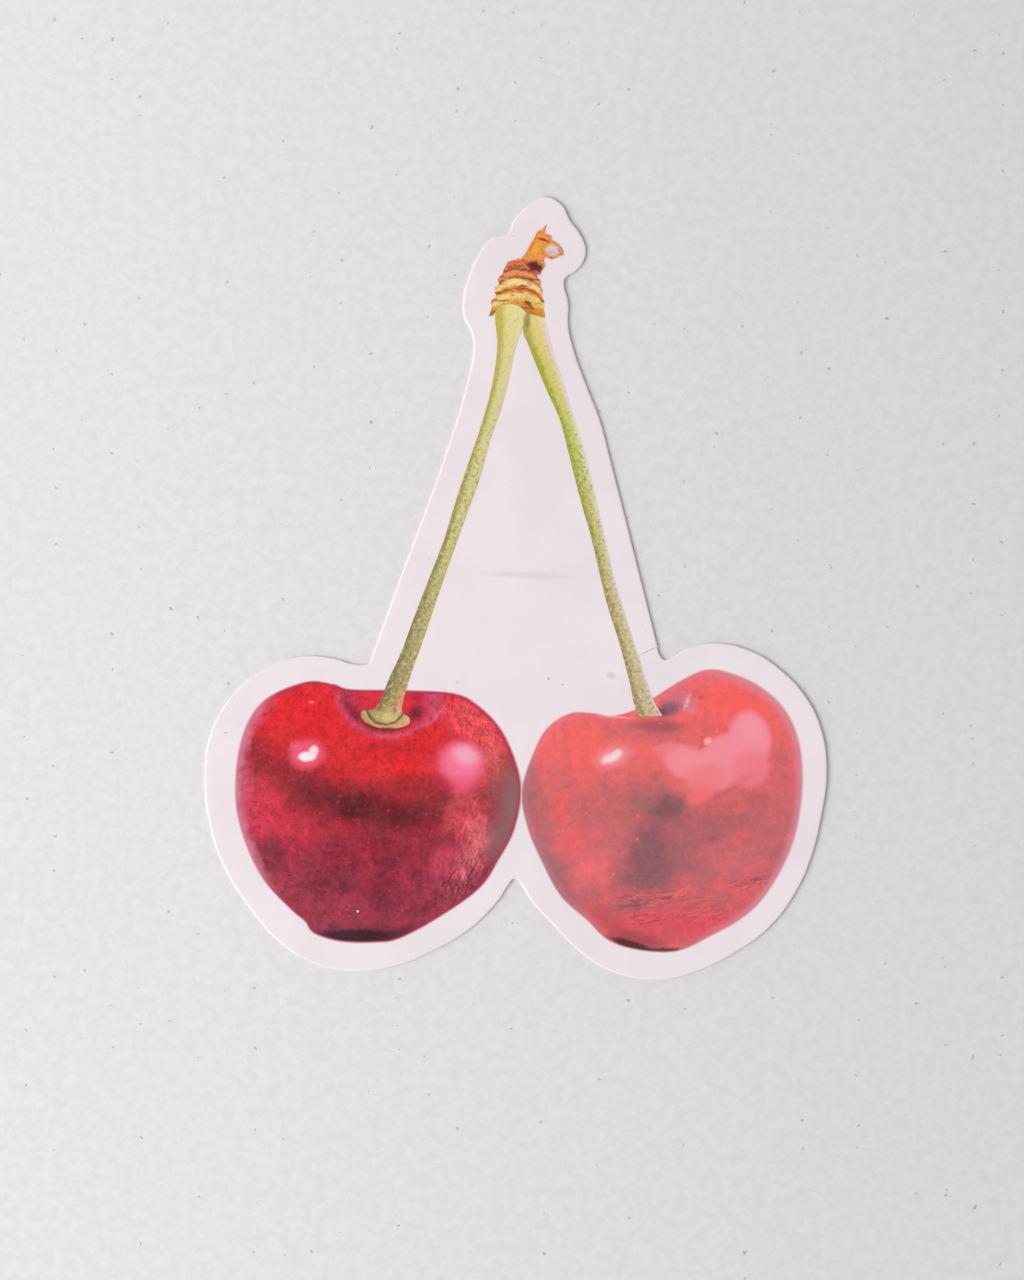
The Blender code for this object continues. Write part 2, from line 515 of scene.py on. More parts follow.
def release_paper():
    """Cream kraft paper with fine fibres, for the liner."""
    material, shader, place = start_material("release_paper")
    fibres = noise(shaken(place, 2.0, 1.5), 0.5, 4, 0.65, stretch=(4, 0.5), turn=35)
    crossed = noise(shaken(place, 2.0, 1.5), 0.4, 4, 0.65, stretch=(0.5, 4), turn=20)
    colour = blend((222, 214, 200), (236, 230, 218), ease(fibres + crossed, 0.8, 1.2))
    connect(shader, Base_Color=colour, Roughness=ease(fibres, 0.3, 0.7, 0.5, 0.7))
    bump(shader, fibres + crossed, 0.3)
    return material


def clear_adhesive():
    """The edge of the glue: a little yellow, shiny, with fine strings."""
    material, shader, place = start_material("adhesive")
    strings = noise(place, 0.5, 3)
    colour = blend((226, 220, 206), (238, 234, 224), ease(strings, 0.3, 0.7))
    connect(shader, Base_Color=colour, Roughness=ease(strings, 0.3, 0.7, 0.2, 0.35))
    return material


# ---------------------------------------------------------------- finishes of the print


def out_from_spine(place):
    """How far out from its piece's spine a point is: 0 on the spine, 1 or -1 on the rim."""
    return axis(place.node("ShaderNodeUVMap", {"uv_map": "round_and_out"}, {}), "Y")


def skin(colour, place, light, dark, depth=1.0):
    """Fruit skin's fine texture: light and dark flecks, blots, light pores and a fine grain."""
    flecks = noise(place, 0.42, 3, 0.6)
    colour = blend(colour, light, ease(flecks, 0.56, 0.78, 0.0, 0.22 * depth))
    colour = blend(colour, dark, ease(flecks, 0.45, 0.22, 0.0, 0.42 * depth))
    blots = noise(place, 0.9, 3, 0.65)
    colour = brighten(colour, ease(blots, 0.3, 0.7, 1 - 0.15 * depth, 1 + 0.13 * depth))
    pores = specks(shaken(place, 0.35, 0.35), 0.95, 0.17, 0.50)
    colour = blend(colour, light, pores * (0.22 * depth))
    grain = ease(noise(place, 0.15, 2, 0.6), 0.2, 0.8, 1 - 0.08 * depth, 1 + 0.08 * depth)
    return brighten(colour, grain)


def left_cherry_ink():
    """Deep red cherry: bright shoulders, a dark belt, a crimson belly with pale pores."""
    material, shader, place = start_material("left_cherry_ink")
    wavy = shaken(place, 3.2, 1.8, 3)
    rough = shaken(place, 1.0, 1.0, 3)
    soft = shaken(place, 0.5, 0.25, 2)
    mottle = ease(noise(place, 1.4, 4, 0.65), 0.3, 0.7, 0.62, 1.3)
    height = axis(wavy, "Y") - (axis(wavy, "X") + 11.5) ** 2.0 * 0.020
    body = [
        (-36.0, (150, 62, 84)), (-31.5, (154, 60, 82)), (-29.0, (146, 50, 74)),
        (-26.5, (148, 44, 64)), (-24.0, (156, 44, 62)), (-21.5, (152, 42, 52)),
        (-19.3, (172, 42, 50)), (-17.5, (210, 44, 50)), (-13.5, (222, 40, 48)),
        (-9.0, (220, 44, 58)),
    ]
    colour = ramp(height, body)
    clouds = noise(rough, 2.3, 3, 0.55)
    belly = ease(height, -22.0, -25.0)
    colour = blend(colour, (108, 34, 56), ease(clouds, 0.48, 0.30, 0.0, 0.55) * belly)
    colour = blend(colour, (186, 58, 78), ease(clouds, 0.52, 0.72, 0.0, 0.50) * belly)
    colour = paint(colour, rough, [
        # the dark belt, from the left shoulder down through the middle and up to the right
        (-25.2, -15.6, 1.5, 2.6, 18, 0.9, 0.6, (150, 40, 54)),
        (-22.8, -18.2, 3.0, 2.0, -35, 0.9, 0.7, (148, 42, 52)),
        (-19.6, -20.0, 4.2, 2.3, -22, 0.9, 0.95, (118, 34, 42)),
        (-15.4, -21.4, 4.8, 2.5, -8, 0.8, 1, (96, 28, 35)),
        (-10.8, -22.2, 4.6, 2.1, 0, 0.9, 0.95, (104, 30, 36)),
        (-6.6, -21.2, 3.8, 2.0, 15, 0.9, 0.9, (124, 38, 46)),
        (-3.2, -19.6, 3.0, 2.0, 25, 0.9, 0.7, (158, 66, 70)),
        (-15.8, -21.7, 2.4, 1.4, -10, 0.9, 0.7, (84, 22, 30)),
        (-10.8, -22.8, 2.2, 1.1, 0, 0.9, 0.55, (88, 26, 32)),
        # crimson flanks and the belly's hollows
        (-24.6, -21.6, 3.4, 4.6, -5, 0.9, 1, (216, 62, 88)),
        (-21.6, -23.6, 3.8, 3.0, -15, 0.9, 0.75, (208, 58, 80)),
        (-16.8, -23.6, 3.0, 1.7, 0, 0.9, 0.6, (176, 46, 64)),
        (-23.4, -25.6, 1.5, 1.7, 0, 0.9, 0.75, (122, 48, 66)),
        (-17.0, -28.6, 3.0, 2.2, 10, 0.9, 0.6, (110, 36, 60)),
        (-13.2, -29.4, 2.8, 1.8, 0, 0.9, 0.55, (112, 38, 62)),
        (-12.0, -25.6, 3.0, 2.0, 20, 0.9, 0.35, (128, 38, 56)),
        # bright shoulders over the belt
        (-20.6, -12.2, 5.2, 2.8, 8, 0.9, 0.9, (226, 34, 44)),
        (-12.3, -17.4, 7.5, 1.7, 0, 0.9, 0.85, (224, 44, 48)),
        (-25.2, -11.6, 2.4, 2.2, 40, 0.9, 0.65, (206, 76, 92)),
        (-26.2, -19.6, 1.2, 5.0, 0, 0.9, 0.7, (214, 98, 120)),
        # right flank: coral shoulder, pale streaks, greyed edge
        (-3.8, -13.2, 5.0, 3.2, -35, 0.8, 0.95, (240, 86, 92)),
        (-8.0, -11.8, 2.6, 1.8, 20, 0.9, 0.6, (226, 84, 104)),
        (-2.6, -16.6, 2.6, 3.8, 10, 0.9, 0.9, (226, 96, 98)),
        (-4.8, -19.2, 3.0, 1.6, 25, 0.9, 0.7, (226, 76, 90)),
        (-4.8, -22.4, 3.4, 4.0, -10, 0.9, 1, (218, 80, 92)),
        (-3.6, -24.6, 2.2, 3.6, -10, 0.9, 0.9, (222, 104, 108)),
        (-6.4, -27.0, 3.2, 3.4, -25, 0.9, 0.8, (204, 72, 94)),
        (-4.6, -26.8, 1.8, 3.2, -30, 0.9, 0.7, (210, 104, 116)),
    ], mottle)
    colour = hollow_round_left_stalk(colour, place, soft)
    crumpled = patch(place, (-4.7, -12.9), (4.4, 3.2), -38, 0.6)
    crumpled = crumpled + patch(place, (-2.2, -17.5), (2.2, 5.0), 8, 0.8, 0.7)
    relief = wrinkles(place, 0.9, (0.7, 1.0), -8, (-0.16, -0.10))
    colour = brighten(colour, 1.02 + crumpled * relief * 1.7)
    lines = threads(place, 1.8, (0.55, 0.9), -8, 0.03)
    colour = blend(colour, (176, 40, 52), crumpled * lines * 0.45)
    streaked = patch(place, (-5.2, -28.2), (2.6, 4.2), -42, 0.7)
    faint = patch(place, (-4.4, -23.4), (2.6, 4.2), -5, 0.8, 0.5)
    relief = wrinkles(place, 1.2, (0.5, 1.1), -24, (-0.20, -0.08))
    colour = brighten(colour, 1 + (streaked + faint) * relief * 3.0)
    lines = threads(place, 2.2, (0.4, 0.8), -30, 0.035)
    colour = blend(colour, (60, 30, 38), streaked * lines * 0.70)
    colour = skin(colour, place, (236, 76, 96), (62, 10, 24), 1.15)
    deeper = scale_channels(colour, (1.06, 0.70, 0.78))
    colour = blend(colour, deeper, ease(axis(wavy, "X"), -6.5, -10.5))
    colour = paint(colour, soft, [
        # grey bloom down the right edge
        (0.3, -20.6, 3.6, 6.2, 4, 0.9, 0.95, (148, 104, 104)),
        (-1.2, -24.2, 2.4, 4.4, -22, 0.9, 0.8, (146, 102, 106)),
        # broad highlight on the right shoulder
        (-5.4, -17.2, 3.6, 3.2, -20, 0.8, 0.9, (244, 72, 104)),
        (-5.3, -17.0, 2.8, 2.6, -16, 0.6, 0.95, (248, 122, 152)),
        (-4.9, -16.3, 2.0, 1.5, -20, 0.9, 0.95, (251, 172, 194)),
        (-5.2, -19.0, 1.7, 1.3, 10, 0.9, 0.75, (244, 96, 130)),
        # small highlight on the left shoulder
        (-20.3, -16.2, 2.3, 1.9, 10, 0.55, 0.95, (245, 88, 116)),
        (-21.5, -15.4, 0.8, 0.6, 0, 0.9, 0.6, (244, 110, 130)),
        (-20.3, -16.4, 1.1, 0.62, 6, 0.5, 1, (252, 238, 240)),
        (-19.7, -15.9, 0.6, 0.75, -20, 0.6, 0.9, (250, 226, 232)),
        (-19.9, -11.1, 0.3, 0.2, 0, 0.6, 0.6, (250, 150, 150)),
        (-15.4, -31.5, 0.16, 0.16, 0, 0.4, 0.9, (250, 225, 210)),
    ])
    colour = left_cherry_rim(colour, place, soft)
    return under_laminate(material, shader, place, colour)


def hollow_round_left_stalk(colour, place, soft):
    """The dip that the left stalk grows from: a lilac lip round its front, purple walls, and
    bright red behind the stalk."""
    away = from_centre(soft, (-12.4, -9.6), (5.3, 5.0))
    inside = ease(away, 1.02, 0.86)
    wall = ramp(axis(place, "X"), [
        (-18.0, (196, 66, 92)), (-16.4, (176, 58, 84)), (-14.9, (206, 52, 70)),
        (-13.3, (220, 48, 64)), (-10.4, (214, 44, 60)), (-9.4, (190, 44, 70)),
        (-8.2, (206, 72, 100)), (-7.0, (228, 96, 110)),
    ])
    colour = blend(colour, wall, inside)
    colour = paint(colour, soft, [
        (-15.7, -12.3, 0.9, 1.9, 40, 0.9, 0.9, (122, 42, 68)),
        (-16.7, -10.8, 0.5, 1.4, 25, 0.9, 0.5, (150, 50, 78)),
        (-9.8, -12.2, 1.3, 1.1, 35, 0.9, 0.9, (104, 30, 52)),
        (-12.8, -13.2, 3.0, 1.1, 0, 0.7, 0.95, (78, 26, 40)),
        (-8.0, -12.6, 2.2, 0.5, 42, 0.9, 0.75, (222, 104, 132)),
    ])
    lip = ease((away - 0.97).magnitude(), 0.11, 0.0)
    colour = blend(colour, (200, 78, 110), lip * ease(axis(place, "Y"), -9.0, -10.4, 0.0, 0.85))
    return paint(colour, soft, [
        (-12.6, -14.4, 2.6, 0.35, 2, 0.9, 0.7, (206, 104, 124)),
        (-12.4, -15.4, 4.6, 0.7, 0, 0.9, 0.7, (188, 40, 52)),
    ])


def left_cherry_rim(colour, place, soft):
    """The left cherry's outline: near black underneath, lilac on the left, magenta elsewhere."""
    out = out_from_spine(place)
    colour = blend(colour, (176, 52, 80), ease(out, 0.95, 0.99, 0.0, 0.75))
    left = ease(axis(place, "X"), -22.5, -26.0)
    fringe = ease(out + (noise(place, 1.2, 3) - 0.5) * 0.08, 0.91, 0.99, 0.0, 0.75)
    colour = blend(colour, (224, 136, 160), fringe * left)
    colour = paint(colour, soft, [
        (-15.4, -33.6, 6.4, 1.5, 0, 0.9, 0.6, (112, 46, 66)),
        (-15.6, -34.0, 5.6, 1.0, 1, 0.5, 0.95, (60, 28, 40)),
        (-11.2, -33.5, 3.2, 0.9, 24, 0.8, 0.7, (92, 38, 58)),
    ])
    under = ease(axis(place, "Y"), -32.6, -33.6)
    colour = blend(colour, (176, 78, 118), ease(out, 0.975, 0.995) * under)
    return blend(colour, FILM_PINK, ease(out, 0.985, 1.0, 0.0, 0.6))


def right_cherry_ink():
    """A lighter cherry under a milky haze, with a broad pink highlight and a maroon shadow."""
    material, shader, place = start_material("right_cherry_ink")
    wavy = shaken(place, 3.0, 1.6, 3)
    rough = shaken(place, 1.1, 1.0, 3)
    soft = shaken(place, 0.5, 0.25, 2)
    mottle = ease(noise(place, 1.4, 4, 0.65), 0.3, 0.7, 0.72, 1.2)
    body = [
        (-36.0, (206, 92, 100)), (-32.5, (210, 92, 100)), (-30.5, (198, 98, 104)),
        (-28.0, (196, 104, 110)), (-24.5, (196, 105, 108)), (-22.0, (196, 104, 107)),
        (-19.5, (214, 104, 106)), (-16.0, (232, 105, 104)), (-12.0, (234, 105, 104)),
        (-8.0, (228, 112, 122)),
    ]
    colour = ramp(axis(wavy, "Y"), body)
    clouds = noise(rough, 1.9, 3, 0.55)
    colour = blend(colour, (160, 100, 104), ease(clouds, 0.46, 0.30, 0.0, 0.40))
    colour = blend(colour, (240, 100, 98), ease(clouds, 0.54, 0.68, 0.0, 0.50))
    colour = paint(colour, rough, [
        # greyed left edge, then the coral left flank
        (0.2, -19.5, 3.0, 7.0, 0, 0.9, 1, (146, 104, 106)),
        (2.6, -26.8, 2.8, 6.0, 30, 0.9, 0.95, (156, 106, 112)),
        (5.2, -30.8, 1.6, 2.6, 48, 0.9, 0.8, (160, 104, 110)),
        (4.4, -21.6, 1.7, 2.0, 0, 0.9, 0.9, (232, 94, 90)),
        (5.4, -24.6, 2.8, 2.8, 20, 0.9, 0.95, (230, 102, 106)),
        (7.4, -27.4, 3.2, 2.8, 35, 0.9, 1, (230, 110, 112)),
        # maroon shadow down the middle
        (12.6, -20.8, 4.6, 3.0, 0, 0.9, 0.8, (160, 102, 104)),
        (14.8, -21.6, 2.9, 2.4, 0, 0.8, 1, (132, 90, 94)),
        (13.4, -25.6, 3.6, 4.4, 0, 0.7, 1, (140, 92, 98)),
        (12.6, -28.0, 4.4, 2.6, 0, 0.8, 1, (142, 92, 99)),
        (16.6, -25.8, 2.6, 3.6, 0, 0.9, 0.8, (156, 98, 104)),
        (19.6, -22.8, 5.6, 2.3, -6, 0.9, 0.9, (174, 98, 103)),
        (19.2, -24.4, 1.5, 1.0, 0, 0.9, 0.6, (152, 90, 102)),
        (23.6, -21.2, 2.6, 2.0, 0, 0.9, 0.7, (180, 100, 104)),
        (21.6, -26.4, 3.2, 1.8, 10, 0.9, 0.6, (206, 106, 114)),
        # crimson foot
        (14.5, -32.6, 8.4, 2.0, 0, 0.8, 0.85, (216, 84, 94)),
        (9.0, -32.2, 2.8, 1.6, -35, 0.9, 0.6, (178, 82, 90)),
        (19.4, -33.0, 3.4, 2.2, 25, 0.8, 0.75, (220, 84, 94)),
        (22.6, -30.2, 3.2, 2.4, 40, 0.9, 0.75, (218, 98, 104)),
        (16.4, -30.8, 4.0, 0.8, 3, 0.9, 0.85, (206, 92, 98)),
        (11.6, -30.8, 2.6, 0.9, 8, 0.9, 0.9, (150, 92, 100)),
        # shoulders
        (21.2, -11.0, 5.6, 2.4, -12, 0.8, 0.95, (246, 98, 92)),
        (6.4, -15.6, 4.4, 2.8, 10, 0.9, 0.8, (240, 102, 98)),
        (26.0, -17.6, 1.7, 4.6, 5, 0.9, 0.85, (198, 102, 108)),
        (10.6, -13.8, 3.4, 1.2, -4, 0.9, 0.8, (200, 106, 110)),
        (14.4, -14.2, 4.2, 1.6, 0, 0.9, 0.9, (198, 102, 106)),
        (19.0, -13.0, 2.4, 1.0, 10, 0.9, 0.6, (228, 98, 98)),
    ], mottle)
    colour = hollow_round_right_stalk(colour, soft)
    foot = patch(place, (13.2, -30.3), (5.4, 1.1), 5, 0.7)
    foot = foot + patch(place, (22.8, -28.7), (3.2, 0.9), 8, 0.8)
    foot = foot + patch(place, (12.6, -32.2), (3.4, 1.2), -8, 0.8, 0.8)
    foot = foot + patch(place, (18.0, -31.6), (5.0, 2.0), 8, 0.9, 0.6)
    relief = wrinkles(place, 1.1, (1.4, 0.45), 8, (-0.10, 0.16))
    colour = brighten(colour, 1 + foot * relief * 1.3)
    lines = threads(rough, 2.0, (1.7, 0.4), 8, 0.03)
    colour = blend(colour, (120, 60, 66), foot * lines * 0.75)
    colour = skin(colour, place, (240, 138, 134), (146, 88, 94), 0.38)
    colour = scale_channels(colour, (1.11, 1.05, 1.05))
    warm = specks(shaken(place, 0.3, 0.2), 2.4, 0.22, 0.35)
    colour = blend(colour, (244, 118, 96), warm * 0.7)
    colour = paint(colour, soft, [
        # broad highlight
        (22.8, -14.6, 2.4, 3.1, 12, 0.35, 0.95, (250, 146, 162)),
        (20.4, -16.8, 3.6, 2.7, 42, 0.30, 0.95, (250, 146, 158)),
        (22.8, -17.6, 2.5, 2.2, 30, 0.45, 0.9, (246, 128, 142)),
        (16.6, -17.0, 3.0, 2.0, -22, 0.45, 0.92, (250, 144, 154)),
        (18.6, -18.6, 2.8, 2.0, 10, 0.50, 0.85, (247, 128, 134)),
        (17.9, -20.2, 1.9, 1.0, 24, 0.60, 0.85, (246, 116, 118)),
        (14.6, -15.6, 1.9, 0.8, 12, 0.70, 0.7, (246, 130, 136)),
        (22.9, -13.6, 1.7, 1.9, 10, 0.80, 0.6, (251, 160, 172)),
        (17.6, -16.6, 2.6, 1.2, 10, 0.80, 0.5, (250, 150, 160)),
        (21.9, -18.8, 2.0, 0.8, 25, 0.90, 0.45, (226, 104, 118)),
        (18.7, -14.9, 0.55, 0.45, 30, 0.60, 0.9, (252, 178, 168)),
        # small highlight
        (9.5, -16.4, 2.7, 1.6, 18, 0.8, 1, (250, 142, 150)),
        (9.2, -16.6, 1.3, 0.65, 20, 0.8, 0.95, (250, 220, 224)),
        (9.9, -16.1, 0.7, 0.5, 30, 0.60, 0.8, (250, 222, 226)),
    ])
    colour = right_cherry_rim(colour, place, soft)
    return under_laminate(material, shader, place, colour)


def hollow_round_right_stalk(colour, soft):
    """The dip behind the right stalk, and the shade under the lip in front of it."""
    return paint(colour, soft, [
        (13.8, -13.4, 3.8, 0.9, -2, 0.8, 0.9, (164, 86, 92)),
        (15.8, -11.2, 2.2, 1.4, 35, 0.8, 0.85, (204, 118, 132)),
        (14.9, -11.8, 1.7, 1.1, 12, 0.8, 1, (136, 92, 104)),
        (14.2, -12.1, 0.8, 0.6, 0, 0.8, 0.8, (108, 74, 82)),
        (16.7, -11.1, 0.35, 1.3, -20, 0.9, 0.75, (232, 176, 186)),
        (17.2, -11.6, 0.6, 1.2, -25, 0.9, 0.5, (212, 140, 154)),
        (18.0, -10.7, 0.5, 0.4, 0, 0.9, 0.6, (176, 84, 96)),
        (10.5, -12.1, 1.6, 0.35, 8, 0.8, 0.8, (214, 84, 98)),
        (9.6, -12.55, 2.4, 0.16, -4, 0.8, 0.8, (236, 178, 186)),
    ])


def right_cherry_rim(colour, place, soft):
    """The right cherry's outline: pink on the right and over the top, maroon underneath."""
    out = out_from_spine(place)
    right = ease(axis(place, "X"), 16.0, 24.0, 0.35, 1.0)
    colour = blend(colour, (222, 142, 156), ease(out, 0.92, 0.99, 0.0, 0.85) * right)
    colour = paint(colour, soft, [
        (12.0, -34.3, 4.6, 1.3, -14, 0.9, 0.7, (150, 66, 74)),
        (11.4, -34.8, 3.4, 0.55, -18, 0.6, 0.95, (84, 44, 48)),
        (14.6, -35.3, 2.6, 0.40, 0, 0.7, 0.9, (104, 48, 56)),
    ])
    return blend(colour, FILM_PINK, ease(out, 0.985, 1.0, 0.0, 0.6))


def stalk_ink(name, middle, shaded, lit):
    """A stalk: three ramps along it, for its middle, its shaded left side and its lit right
    side, with dark and pale flecks that grow faint towards the top, and small pits."""
    material, shader, place = start_material(name)
    height = axis(shaken(place, 1.5, 1.2, 2), "Y")
    across = out_from_spine(place) + (noise(place, 0.7, 3) - 0.5) * 0.7
    colour = ramp(height, middle)
    colour = blend(colour, ramp(height, shaded), ease(across, -0.05, -0.75))
    colour = blend(colour, ramp(height, lit), ease(across, 0.1, 0.8))
    flecks = noise(place, 0.36, 3, 0.7)
    lower = ease(height, 22.0, 10.0, 0.3, 1.0)
    colour = blend(colour, (118, 104, 54), ease(flecks, 0.46, 0.30, 0.0, 0.65) * lower)
    colour = blend(colour, (240, 230, 178), ease(flecks, 0.54, 0.70, 0.0, 0.50) * lower)
    pits = specks(place, 1.3, 0.14, 0.3)
    colour = blend(colour, (128, 104, 58), pits * 0.4)
    return material, shader, place, colour


def left_stalk_ink():
    """The left stalk: yellow green at the top, olive below, and a corky foot whose collar has a
    dark crack over it."""
    middle = [
        (-13.8, (184, 158, 106)), (-10.5, (164, 146, 94)), (-6.0, (172, 160, 112)),
        (0.0, (190, 178, 122)), (6.0, (208, 198, 134)), (12.0, (218, 208, 146)),
        (18.0, (218, 212, 150)), (23.0, (226, 214, 142)), (27.6, (238, 222, 152)),
    ]
    shaded = [
        (-13.8, (128, 100, 62)), (-8.0, (140, 130, 82)), (0.0, (150, 142, 84)),
        (10.0, (172, 164, 84)), (20.0, (190, 178, 84)), (27.6, (206, 186, 84)),
    ]
    lit = [
        (-13.8, (214, 160, 122)), (-8.0, (186, 160, 110)), (0.0, (196, 182, 116)),
        (10.0, (212, 202, 140)), (20.0, (224, 212, 160)), (27.6, (236, 222, 168)),
    ]
    material, shader, place, colour = stalk_ink("left_stalk_ink", middle, shaded, lit)
    soft = shaken(place, 0.5, 0.25, 2)
    away = from_centre(soft, (-12.7, -11.5), (2.35, 2.3))
    foot = ease(axis(place, "Y"), -11.2, -12.2)
    crack = ease((away - 0.78).magnitude(), 0.12, 0.0, 0.0, 0.75)
    collar = ease((away - 0.90).magnitude(), 0.11, 0.0, 0.0, 0.90)
    colour = blend(colour, (206, 188, 112), foot * 0.45)
    colour = blend(colour, (74, 44, 44), crack * foot)
    colour = blend(colour, (216, 158, 124), collar * foot)
    colour = paint(colour, soft, [
        (0.9, 26.0, 0.35, 1.3, -6, 0.9, 0.6, (120, 108, 52)),
        (-11.0, -11.2, 0.6, 1.4, 10, 0.8, 0.7, (222, 150, 112)),
        (-12.4, -12.6, 0.9, 0.7, 0, 0.9, 0.6, (228, 206, 132)),
        (-13.2, -11.8, 0.5, 0.4, 0, 0.8, 0.55, (118, 96, 60)),
        (-11.8, -11.9, 0.3, 0.5, 0, 0.8, 0.5, (122, 92, 60)),
        (-12.7, -13.75, 1.6, 0.22, 4, 0.7, 0.85, (60, 32, 36)),
    ])
    return under_laminate(material, shader, place, colour)


def right_stalk_ink():
    """The right stalk: leaf green on its shaded side at the top, khaki below, pale where lit."""
    middle = [
        (-12.6, (206, 180, 150)), (-6.0, (206, 190, 146)), (0.0, (204, 184, 140)),
        (6.0, (202, 194, 130)), (12.0, (196, 194, 108)), (18.0, (208, 206, 112)),
        (23.0, (222, 206, 112)), (27.0, (236, 216, 134)),
    ]
    shaded = [
        (-12.6, (170, 150, 108)), (-6.0, (168, 150, 96)), (0.0, (168, 156, 88)),
        (6.0, (164, 164, 70)), (12.0, (168, 176, 62)), (18.0, (166, 172, 60)),
        (23.0, (178, 170, 66)), (27.0, (186, 170, 80)),
    ]
    lit = [
        (-12.6, (214, 190, 158)), (-6.0, (212, 196, 162)), (0.0, (214, 202, 166)),
        (6.0, (214, 208, 158)), (12.0, (220, 216, 162)), (18.0, (226, 214, 172)),
        (23.0, (230, 208, 176)), (27.0, (238, 216, 180)),
    ]
    material, shader, place, colour = stalk_ink("right_stalk_ink", middle, shaded, lit)
    colour = paint(colour, place, [(1.2, 26.0, 0.35, 1.3, -6, 0.9, 0.6, (120, 108, 52))])
    colour = blend(colour, FILM_PINK, ease(out_from_spine(place), 0.75, 1.0, 0.0, 0.6))
    return under_laminate(material, shader, place, colour)


def bud_ink():
    """The dry scale that holds the stalks: ragged domed rings in orange, straw and brown, a dark
    knot, and an orange twig with a clear slit in it."""
    material, shader, place = start_material("bud_ink")
    ragged = shaken(place, 0.8, 0.45, 3)
    across = axis(ragged, "X")
    ring = axis(ragged, "Y") + (across - 0.2) ** 2.0 * 0.17
    rings = [
        (26.9, (196, 122, 52)), (27.5, (214, 140, 58)), (27.9, (228, 160, 74)),
        (28.3, (240, 206, 118)), (28.7, (244, 214, 130)), (28.95, (226, 136, 62)),
        (29.2, (168, 84, 44)), (29.4, (236, 160, 76)), (29.75, (250, 226, 160)),
        (30.0, (244, 196, 118)), (30.25, (148, 72, 50)), (30.5, (236, 136, 76)),
        (30.8, (238, 154, 104)), (31.1, (150, 70, 56)), (31.4, (236, 140, 82)),
        (31.8, (206, 104, 62)), (32.1, (240, 150, 76)), (34.0, (242, 160, 64)),
        (35.4, (240, 150, 72)),
    ]
    colour = ramp(ring, rings)
    breaks = noise(ragged, 0.9, 3, 0.6, stretch=(1.6, 0.32), turn=-6)
    cap = ease(axis(place, "Y"), 32.2, 31.4, 0.25, 1.0)
    colour = blend(colour, (126, 54, 44), ease(breaks, 0.46, 0.34, 0.0, 0.75) * cap)
    colour = blend(colour, (252, 184, 104), ease(breaks, 0.56, 0.68, 0.0, 0.50) * cap)
    grain = noise(place, 0.28, 2, 0.6)
    colour = brighten(colour, ease(grain, 0.25, 0.75, 0.86, 1.12))
    soft = shaken(place, 0.4, 0.25, 2)
    colour = paint(colour, soft, [
        (-2.3, 26.9, 0.5, 0.8, -10, 0.8, 0.7, (190, 96, 50)),
        (1.3, 27.6, 0.25, 1.0, 40, 0.8, 0.8, (120, 58, 38)),
        (0.0, 29.9, 1.5, 0.35, -4, 0.8, 0.75, (252, 226, 150)),
        (-1.2, 28.4, 1.1, 0.4, 10, 0.8, 0.7, (246, 220, 140)),
        (2.2, 26.9, 0.8, 0.5, -20, 0.8, 0.8, (240, 150, 54)),
        (1.9, 31.3, 1.1, 0.75, -20, 0.6, 0.95, (88, 32, 36)),
        (2.3, 31.6, 0.3, 0.35, 0, 0.8, 0.8, (220, 112, 84)),
        (2.0, 30.7, 0.8, 0.35, -10, 0.8, 0.7, (206, 100, 92)),
        (1.9, 33.0, 0.5, 0.9, -25, 0.7, 0.85, (246, 172, 64)),
        (1.6, 33.4, 0.18, 1.6, -28, 0.8, 0.8, (236, 112, 48)),
        (2.5, 32.3, 0.5, 0.3, 20, 0.7, 0.7, (240, 150, 120)),
        (3.6, 32.9, 0.85, 0.62, -20, 0.4, 0.9, (222, 206, 220)),
        (3.4, 32.7, 0.5, 0.12, 30, 0.7, 0.6, (196, 150, 176)),
        (2.7, 33.9, 0.9, 0.17, -18, 0.6, 0.9, (126, 68, 50)),
        (3.2, 32.15, 0.7, 0.14, 5, 0.7, 0.8, (176, 72, 96)),
        (4.3, 32.7, 0.14, 0.7, 25, 0.7, 0.7, (196, 104, 130)),
    ])
    return under_laminate(material, shader, place, colour)


# ---------------------------------------------------------------- the sheet

# Where the sheet's rim is tied to its spine, anticlockwise: a point near the rim, the spine's
# point that belongs to it, and the number of columns to the next. In millimetres.
TIES = [
    ((2.8, 38.1), (1.3, 33.0), 50),
    ((-4.5, 30.5), (0.9, 30.5), 30),
    ((-4.3, 24.9), (0.2, 25.0), 200),
    ((-14.3, -7.3), (0.0, -15.0), 45),
    ((-18.1, -6.8), (-14.5, -21.0), 320),
    ((-8.4, -35.5), (-14.5, -21.0), 45),
    ((-0.1, -28.3), (0.0, -15.0), 45),
    ((8.5, -36.9), (14.5, -21.0), 320),
    ((19.5, -5.4), (14.5, -21.0), 45),
    ((14.5, -7.0), (0.0, -15.0), 200),
    ((5.1, 25.6), (0.2, 25.0), 30),
    ((4.8, 30.1), (0.9, 30.5), 50),
]


def sheet_columns():
    """The rim's points and their feet on the spine, spread evenly between the ties."""
    line = smooth_line(die_line(), closed=True, fineness=6)
    near = np.array([tie[0] for tie in TIES]) * MM
    feet = np.array([tie[1] for tie in TIES]) * MM
    shares = np.array([share_nearest(line, point) for point in near])
    shares = np.append(shares, shares[0])
    shares = shares + np.concatenate([[0], np.cumsum(np.diff(shares) < 0)])
    feet = np.vstack([feet, feet[0]])
    knots = np.cumsum([0] + [tie[2] for tie in TIES])
    column = np.arange(knots[-1])
    rim = at_lengths(line, np.interp(column, knots, shares) % 1)
    foot = np.stack([np.interp(column, knots, feet[:, 0]), np.interp(column, knots, feet[:, 1])], axis=1)
    return rim, foot


